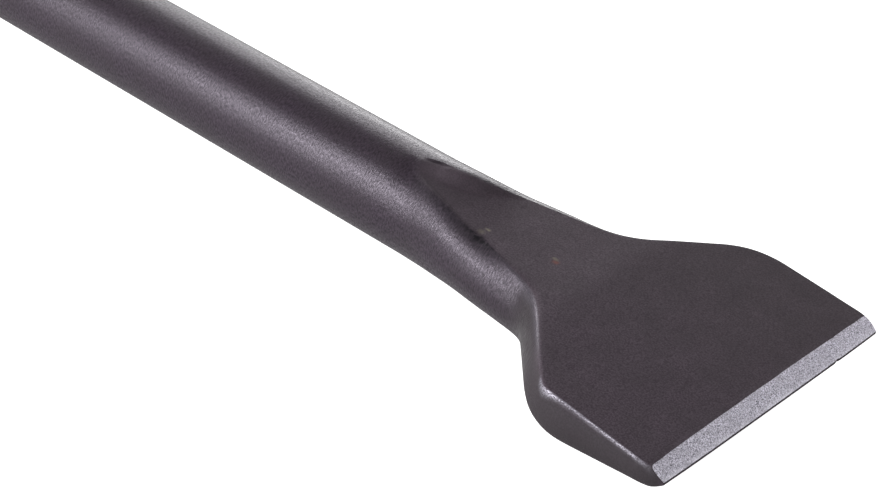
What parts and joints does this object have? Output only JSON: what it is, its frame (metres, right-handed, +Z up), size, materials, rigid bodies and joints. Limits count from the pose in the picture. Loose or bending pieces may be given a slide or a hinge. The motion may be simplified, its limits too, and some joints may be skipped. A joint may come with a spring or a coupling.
{
  "type": "cold chisel",
  "caption": "Forged steel chisel with a round shank, a struck head and a wide flat blade ground to a cutting edge.",
  "frame": {"origin": "under the middle of the tool's length, on the surface that the shank lies on", "axes": "+X along the shank towards the cutting edge, +Y across the blade, +Z up, square to the blade"},
  "size_m": [0.25, 0.0502, 0.0159],
  "materials": {
    "steel": "forged, grit-blasted and darkened to a violet grey; the bevel is ground bright and left bare"
  },
  "bodies": {
    "root": {"chisel": "steel"}
  },
  "joints": []
}
